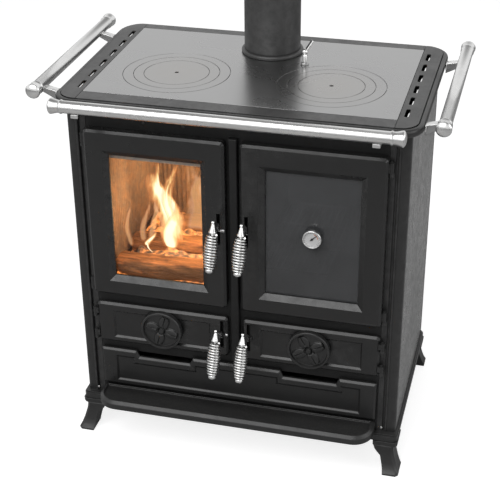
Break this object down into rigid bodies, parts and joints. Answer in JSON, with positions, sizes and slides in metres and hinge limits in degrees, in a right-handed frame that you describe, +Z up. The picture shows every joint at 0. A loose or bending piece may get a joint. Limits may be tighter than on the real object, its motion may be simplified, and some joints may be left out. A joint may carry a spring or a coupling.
{
  "type": "wood cookstove",
  "caption": "Wood-burning cookstove: glazed firebox and oven side by side, hob with lift-out rings, ash and soot doors, drawer, hearth tray, bright rails and spring grips.",
  "frame": {"origin": "on the floor under the middle of the overall box", "axes": "+Z up, the doors face -Y, +X to the right as one faces the doors"},
  "size_m": [0.9006, 0.57, 1.04],
  "materials": {
    "black_iron": "black satin cast iron, lightly rubbed on its edges",
    "grey_enamel": "grey enamelled sheet, satin",
    "frame_enamel": "black enamelled casting, smooth satin",
    "hob_steel": "ground steel plate, blurred reflections",
    "chrome": "polished nickel plate",
    "bright_steel": "bright drawn steel",
    "flue_black": "black flue paint, satin",
    "fire_iron": "burnt cast iron, matt and browned",
    "sheet_steel": "folded mill-finish sheet",
    "oven_glass": "clear heat-resisting glass, faintly smoked",
    "needle_black": "black paint, satin"
  },
  "bodies": {
    "stove": {"base_frame": "black_iron", "foot_front_left": "black_iron", "foot_front_right": "black_iron", "foot_rear_left": "black_iron", "foot_rear_right": "black_iron", "hearth_tray": "black_iron", "front_plate": "black_iron", "corner_post_left": "black_iron", "corner_post_right": "black_iron", "side_panel_left": "grey_enamel", "side_panel_right": "grey_enamel", "side_shield_left": "bright_steel", "side_shield_right": "bright_steel", "back_panel": "black_iron", "hob_frame_left": "frame_enamel", "hob_frame_right": "frame_enamel", "hob_frame_front": "frame_enamel", "hob_frame_rear": "frame_enamel", "cooking_plate": "hob_steel", "flue_collar": "flue_black", "flue_pipe": "flue_black", "damper_bush": "black_iron", "firebox_lining": "fire_iron", "fire_grate": "fire_iron", "ash_box": "sheet_steel", "ash_pan": "sheet_steel", "oven_box": "sheet_steel", "oven_rack": "bright_steel", "front_rail": "chrome", "front_rail_bracket_left": "chrome", "front_rail_bracket_right": "chrome", "side_rail_left": "chrome", "side_rail_right": "chrome"},
    "firebox_door": {"firebox_door": "black_iron", "firebox_glass": "oven_glass"},
    "oven_door": {"oven_door": "black_iron", "oven_glass": "oven_glass", "thermometer_case": "chrome"},
    "ash_door": {"ash_door": "black_iron"},
    "soot_door": {"soot_door": "black_iron"},
    "ash_air_wheel": {"ash_air_wheel": "black_iron"},
    "soot_air_wheel": {"soot_air_wheel": "black_iron"},
    "thermometer_needle": {"thermometer_needle": "needle_black"},
    "drawer": {"drawer_front": "black_iron", "drawer_box": "sheet_steel"},
    "damper_lever": {"damper_lever": "chrome"},
    "firebox_handle": {"firebox_handle_lever": "chrome", "firebox_spring_grip": "chrome"},
    "oven_handle": {"oven_handle_lever": "chrome", "oven_spring_grip": "chrome"},
    "ash_handle": {"ash_handle_lever": "chrome", "ash_spring_grip": "chrome"},
    "soot_handle": {"soot_handle_lever": "chrome", "soot_spring_grip": "chrome"},
    "outer_ring_left": {"outer_ring_left": "hob_steel"},
    "middle_ring_left": {"middle_ring_left": "hob_steel"},
    "hob_disc_left": {"hob_disc_left": "hob_steel"},
    "outer_ring_right": {"outer_ring_right": "hob_steel"},
    "middle_ring_right": {"middle_ring_right": "hob_steel"},
    "hob_disc_right": {"hob_disc_right": "hob_steel"}
  },
  "joints": [
    {"name": "firebox_door_hinge", "type": "hinge", "parent": "stove", "child": "firebox_door", "pos_m": [-0.3345, -0.188, 0.58675], "axis": [0, 0, -1], "range_deg": [0, 110]},
    {"name": "oven_door_hinge", "type": "hinge", "parent": "stove", "child": "oven_door", "pos_m": [0.3345, -0.188, 0.58675], "axis": [0, 0, 1], "range_deg": [0, 110]},
    {"name": "ash_door_hinge", "type": "hinge", "parent": "stove", "child": "ash_door", "pos_m": [-0.3345, -0.188, 0.302], "axis": [0, 0, -1], "range_deg": [0, 110]},
    {"name": "soot_door_hinge", "type": "hinge", "parent": "stove", "child": "soot_door", "pos_m": [0.3345, -0.188, 0.302], "axis": [0, 0, 1], "range_deg": [0, 110]},
    {"name": "firebox_handle_pivot", "type": "hinge", "parent": "firebox_door", "child": "firebox_handle", "pos_m": [-0.031, -0.1921, 0.582], "axis": [-1, 0, 0], "range_deg": [0, 30]},
    {"name": "oven_handle_pivot", "type": "hinge", "parent": "oven_door", "child": "oven_handle", "pos_m": [0.031, -0.1921, 0.582], "axis": [-1, 0, 0], "range_deg": [0, 30]},
    {"name": "ash_handle_pivot", "type": "hinge", "parent": "ash_door", "child": "ash_handle", "pos_m": [-0.031, -0.1921, 0.309], "axis": [-1, 0, 0], "range_deg": [0, 30]},
    {"name": "soot_handle_pivot", "type": "hinge", "parent": "soot_door", "child": "soot_handle", "pos_m": [0.031, -0.1921, 0.309], "axis": [-1, 0, 0], "range_deg": [0, 30]},
    {"name": "ash_air_wheel_turn", "type": "hinge", "parent": "ash_door", "child": "ash_air_wheel", "pos_m": [-0.1715, -0.1912, 0.304], "axis": [0, -1, 0], "range_deg": [0, 90]},
    {"name": "soot_air_wheel_turn", "type": "hinge", "parent": "soot_door", "child": "soot_air_wheel", "pos_m": [0.1715, -0.1912, 0.304], "axis": [0, -1, 0], "range_deg": [0, 90]},
    {"name": "thermometer_needle_turn", "type": "hinge", "parent": "oven_door", "child": "thermometer_needle", "pos_m": [0.175, -0.193, 0.587], "axis": [0, 1, 0], "range_deg": [-180, 85]},
    {"name": "drawer_slide", "type": "slide", "parent": "stove", "child": "drawer", "axis": [0, -1, 0], "range_m": [0, 0.26]},
    {"name": "damper_turn", "type": "hinge", "parent": "stove", "child": "damper_lever", "pos_m": [0.091, 0.099, 0.86], "axis": [0, 0, 1], "range_deg": [0, 90]},
    {"name": "outer_ring_lift_left", "type": "slide", "parent": "stove", "child": "outer_ring_left", "axis": [0, 0, 1], "range_m": [0, 0.1]},
    {"name": "middle_ring_lift_left", "type": "slide", "parent": "outer_ring_left", "child": "middle_ring_left", "axis": [0, 0, 1], "range_m": [0, 0.1]},
    {"name": "hob_disc_lift_left", "type": "slide", "parent": "middle_ring_left", "child": "hob_disc_left", "axis": [0, 0, 1], "range_m": [0, 0.1]},
    {"name": "outer_ring_lift_right", "type": "slide", "parent": "stove", "child": "outer_ring_right", "axis": [0, 0, 1], "range_m": [0, 0.1]},
    {"name": "middle_ring_lift_right", "type": "slide", "parent": "outer_ring_right", "child": "middle_ring_right", "axis": [0, 0, 1], "range_m": [0, 0.1]},
    {"name": "hob_disc_lift_right", "type": "slide", "parent": "middle_ring_right", "child": "hob_disc_right", "axis": [0, 0, 1], "range_m": [0, 0.1]}
  ]
}
